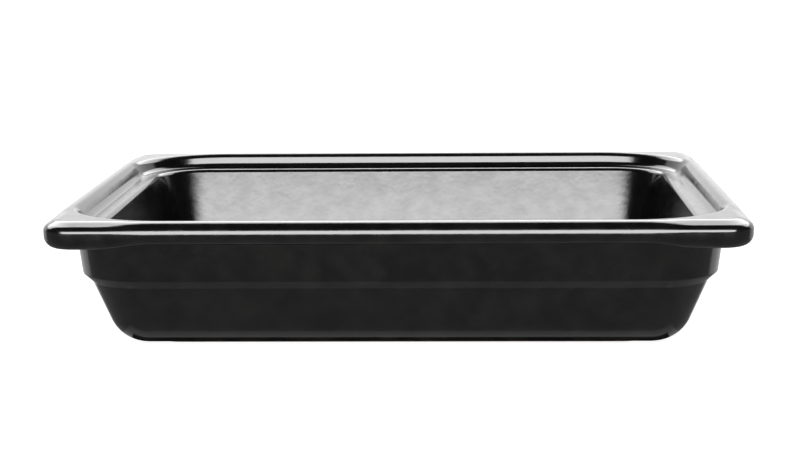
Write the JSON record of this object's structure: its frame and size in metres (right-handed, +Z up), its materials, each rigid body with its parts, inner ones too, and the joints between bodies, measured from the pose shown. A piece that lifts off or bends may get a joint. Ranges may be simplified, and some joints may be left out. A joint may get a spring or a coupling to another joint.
{
  "type": "baking dish",
  "caption": "Rectangular glazed stoneware baking dish with a rolled rim, flat rim corners, a ledge for a lid inside the rim, a stepped and tapered body and a bare foot ring.",
  "frame": {"origin": "centre of the foot's underside, on the surface that the dish stands on", "axes": "+X along the dish's length, +Y from the front to the back, +Z up out of the dish"},
  "size_m": [0.325, 0.265, 0.065],
  "materials": {
    "stoneware": "matt, fine-grained fired clay",
    "black_glaze": "high-gloss black glaze with a faint orange-peel surface"
  },
  "bodies": {
    "root": {"stoneware_body": "stoneware", "inside_glaze": "black_glaze", "outside_glaze": "black_glaze", "underside_glaze": "black_glaze"}
  },
  "joints": []
}
